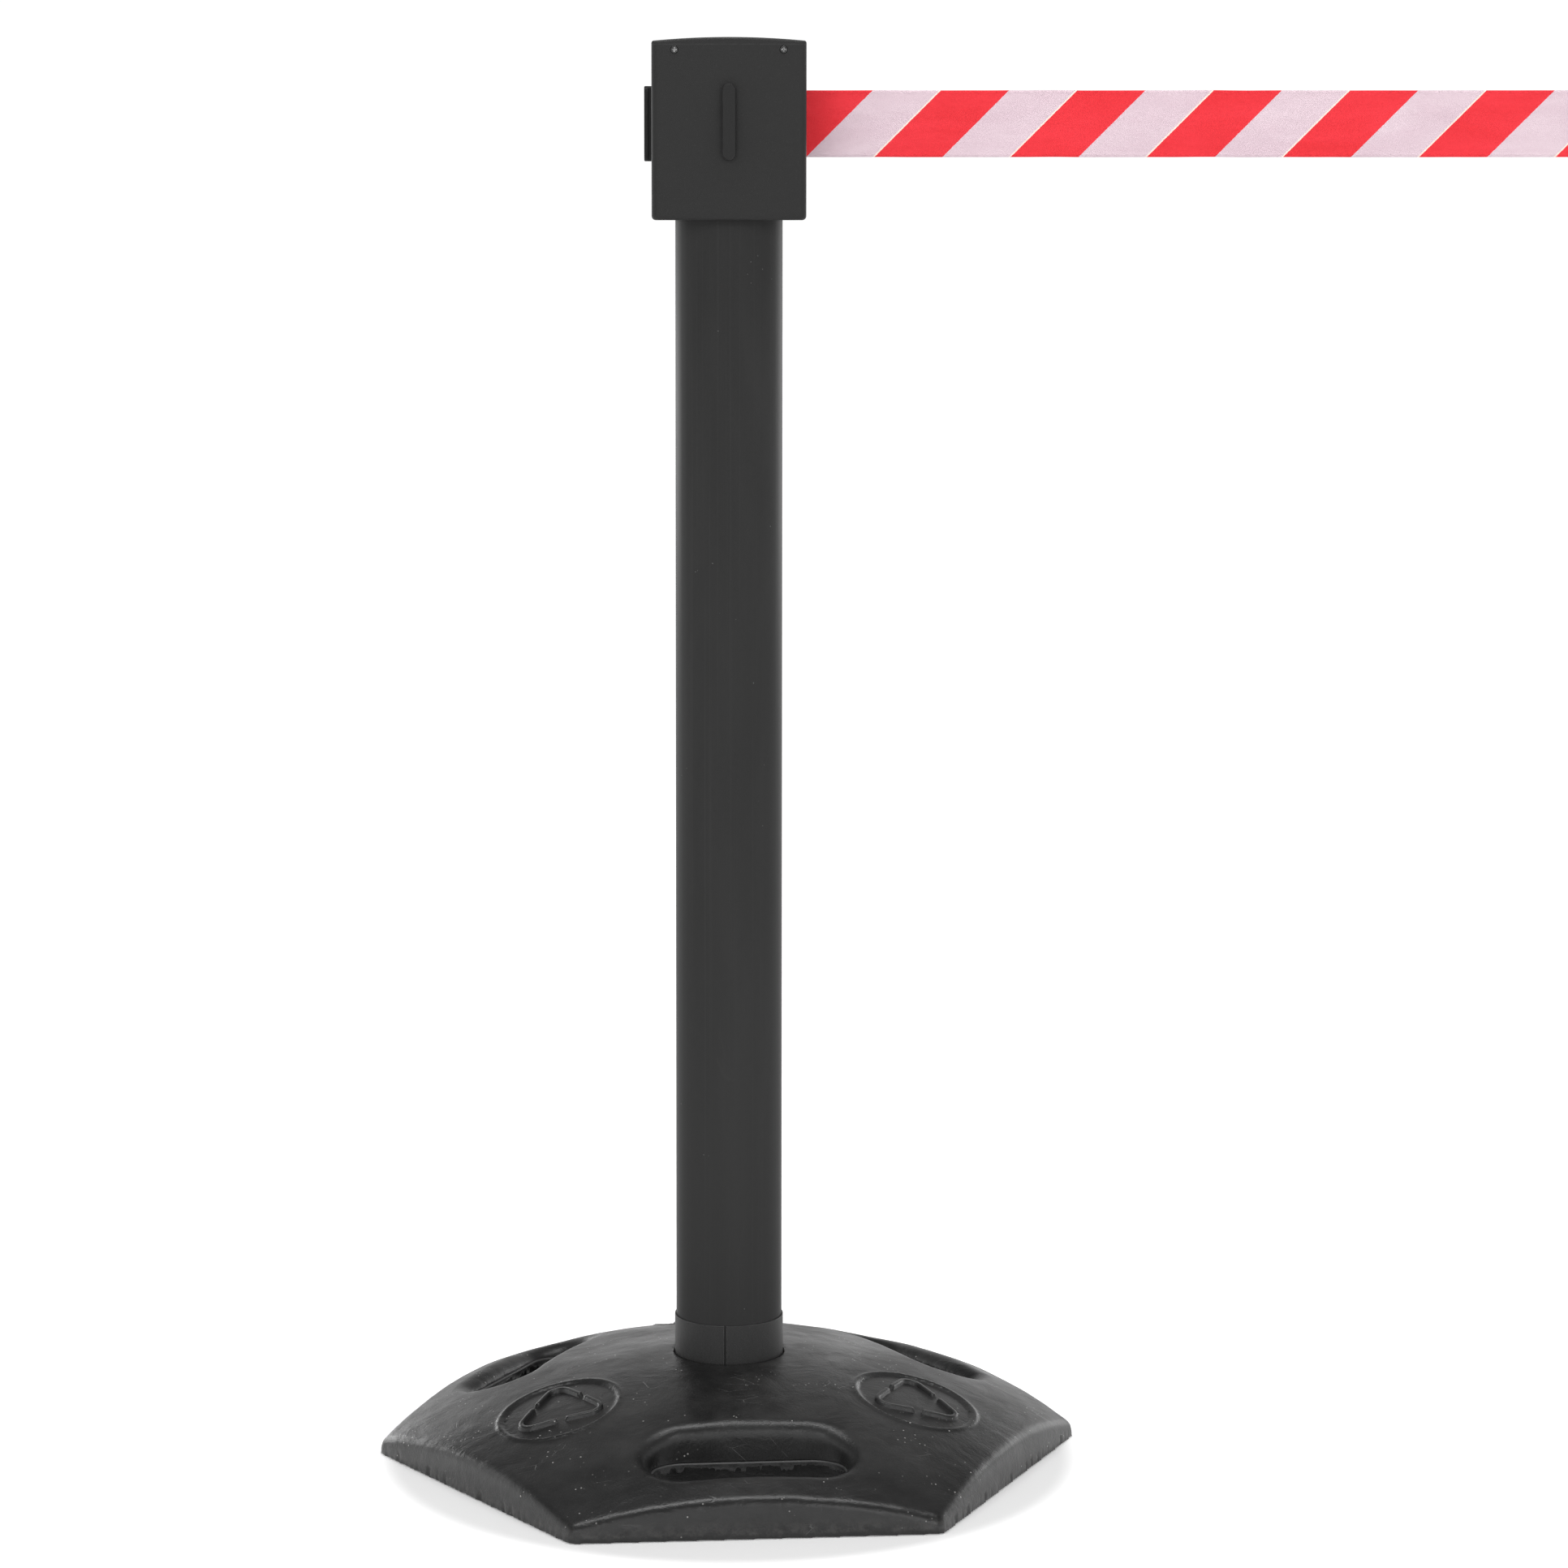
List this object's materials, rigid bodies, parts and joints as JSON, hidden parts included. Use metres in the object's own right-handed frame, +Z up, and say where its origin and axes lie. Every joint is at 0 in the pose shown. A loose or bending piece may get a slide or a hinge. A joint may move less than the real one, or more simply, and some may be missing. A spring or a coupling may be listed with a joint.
{
  "type": "retractable belt stanchion",
  "caption": "Free-standing crowd-control post with a domed hexagonal rubber base, a square head with belt receivers, and a red and white belt that reels in.",
  "frame": {"origin": "on the floor at the post's axis", "axes": "+Z up the post, -Y towards the front, +X along the belt as it leaves the head"},
  "size_m": [0.9077, 0.4596, 1.016],
  "materials": {
    "rubber": "semi-gloss moulded recycled rubber",
    "post_skin": "smooth dark grey-black plastic tube",
    "collar": "black moulded plastic",
    "head_plastic": "fine-textured black moulded plastic",
    "rail_plastic": "black moulded plastic",
    "clip_plastic": "black moulded plastic",
    "inner_plastic": "dark grey moulded plastic",
    "acetal": "natural white low-friction plastic",
    "zinc_steel": "zinc-plated steel",
    "spring_steel": "blued spring steel",
    "black_screw": "blackened steel",
    "webbing": "woven polyester webbing with red and pale diagonal stripes"
  },
  "bodies": {
    "stand": {"base_moulding": "rubber", "post_tube": "post_skin", "foot_collar": "collar", "foot_plug": "inner_plastic", "tie_rod": "zinc_steel", "plate_washer": "zinc_steel", "upper_washer": "zinc_steel", "lock_washers": "zinc_steel", "rod_nuts": "zinc_steel", "head_adapter": "inner_plastic", "adapter_screws": "zinc_steel", "head_casing": "head_plastic", "head_cap": "head_plastic", "cap_screws": "black_screw", "casing_screws": "black_screw", "slot_liner": "rail_plastic", "front_receiver": "rail_plastic", "left_receiver": "rail_plastic", "back_receiver": "rail_plastic", "receiver_screws": "zinc_steel", "cassette_base": "zinc_steel", "cassette_top": "zinc_steel", "cassette_pillars": "zinc_steel", "cassette_screws": "zinc_steel", "spindle": "zinc_steel", "spindle_rings": "spring_steel", "thrust_washers": "acetal", "belt_run": "webbing", "guide_pin": "zinc_steel"},
    "spool": {"spool_drum": "inner_plastic", "spool_flange": "inner_plastic", "flange_screws": "zinc_steel", "lower_bush": "acetal", "upper_bush": "acetal", "belt_anchor": "zinc_steel", "power_spring": "spring_steel", "belt_coil": "webbing"},
    "guide": {"guide_roller": "acetal"},
    "belt_end": {"belt_strip": "webbing", "belt_loop": "webbing", "clip_body": "clip_plastic", "belt_pin": "zinc_steel", "lever_pin": "zinc_steel", "lever_spring": "spring_steel"},
    "lever": {"clip_lever": "clip_plastic"}
  },
  "joints": [
    {"name": "belt_pull", "type": "slide", "parent": "stand", "child": "belt_end", "axis": [1, 0, 0], "range_m": [-0.557, 0], "deforming": ["belt_strip"]},
    {"name": "spool_spin", "type": "hinge", "parent": "stand", "child": "spool", "pos_m": [-0.007, 0, 0.9555], "axis": [0, 0, 1], "range_deg": [0, 900], "deforming": ["power_spring"]},
    {"name": "guide_spin", "type": "hinge", "parent": "stand", "child": "guide", "pos_m": [0.04, 0.00465, 0.9555], "axis": [0, 0, 1], "range_deg": [-7981, 0]},
    {"name": "lever_press", "type": "hinge", "parent": "belt_end", "child": "lever", "pos_m": [0.6418, -0.0078, 0.9545], "axis": [-1, 0, 0], "range_deg": [0, 9], "stiffness_Nm_per_rad": 0.05, "springref_deg": -6.88, "deforming": ["lever_spring"]}
  ],
  "couplings": [
    {"joint": "spool_spin", "follows": "belt_pull", "rad_per_m": -28.169},
    {"joint": "guide_spin", "follows": "belt_pull", "rad_per_m": 250}
  ]
}
